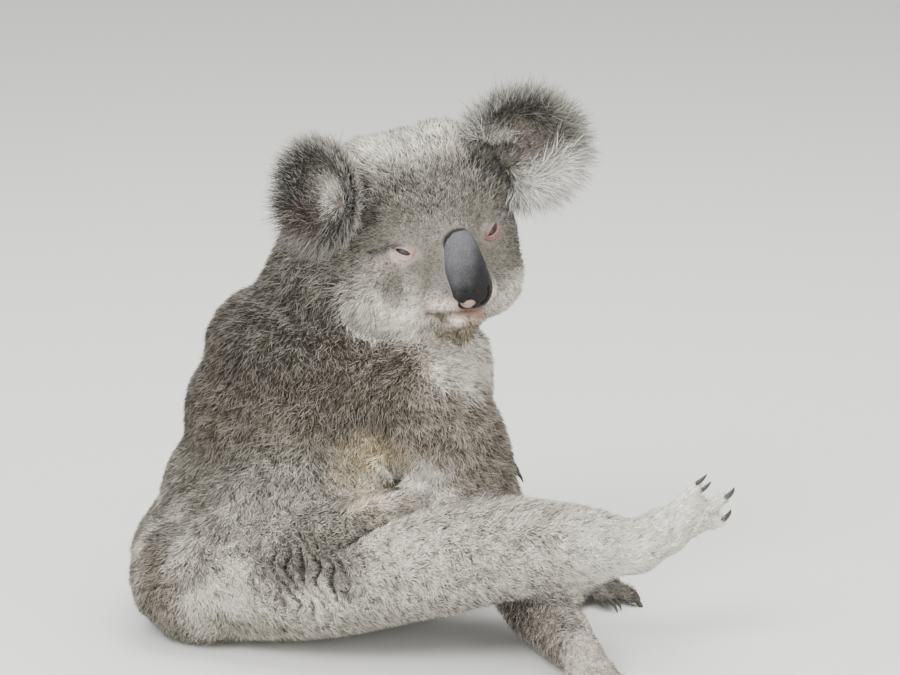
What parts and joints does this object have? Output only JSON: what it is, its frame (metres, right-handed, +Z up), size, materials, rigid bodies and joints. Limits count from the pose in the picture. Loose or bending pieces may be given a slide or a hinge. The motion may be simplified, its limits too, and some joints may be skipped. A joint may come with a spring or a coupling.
{
  "type": "koala",
  "caption": "Koala sitting on its rump, one hind leg held out straight over the forearm below it, its head turned to the side.",
  "frame": {"origin": "on the floor, under the centre of the animal's overall box", "axes": "+X the way the trunk and the raised leg point, +Y to the animal's left, +Z up"},
  "size_m": [0.4529, 0.3916, 0.4081],
  "materials": {
    "fur_grey": "dense grey-brown wool, pale at the tips",
    "fur_brown": "dense dark brown-grey wool",
    "fur_pale": "short cream-white fur",
    "fur_ear": "long silver-tipped fringe over a dark base",
    "nose_leather": "bare slate-black hide, finely pitted",
    "eye_wet": "wet and glossy",
    "claw_horn": "dark polished horn"
  },
  "bodies": {
    "root": {"head": "fur_grey", "neck": "fur_grey", "rump": "fur_grey", "belly": "fur_grey", "chest": "fur_grey", "thigh_right": "fur_grey", "thigh_left": "fur_grey", "shank_right": "fur_grey", "shank_left": "fur_grey", "upper_arm_right": "fur_brown", "upper_arm_left": "fur_brown", "forearm_right": "fur_brown", "forearm_left": "fur_brown", "jaw": "fur_pale", "foot_right": "fur_pale", "foot_left": "fur_pale", "hand_right": "fur_pale", "hand_left": "fur_pale", "ear_right": "fur_ear", "ear_left": "fur_ear", "nose": "nose_leather", "eye_right": "eye_wet", "eye_left": "eye_wet", "claw_foot_right_2": "claw_horn", "claw_foot_right_3": "claw_horn", "claw_foot_right_4": "claw_horn", "claw_foot_right_5": "claw_horn", "claw_foot_left_2": "claw_horn", "claw_foot_left_3": "claw_horn", "claw_foot_left_4": "claw_horn", "claw_foot_left_5": "claw_horn", "claw_hand_right_1": "claw_horn", "claw_hand_right_2": "claw_horn", "claw_hand_right_3": "claw_horn", "claw_hand_right_4": "claw_horn", "claw_hand_right_5": "claw_horn", "claw_hand_left_1": "claw_horn", "claw_hand_left_2": "claw_horn", "claw_hand_left_3": "claw_horn", "claw_hand_left_4": "claw_horn", "claw_hand_left_5": "claw_horn"}
  },
  "joints": []
}
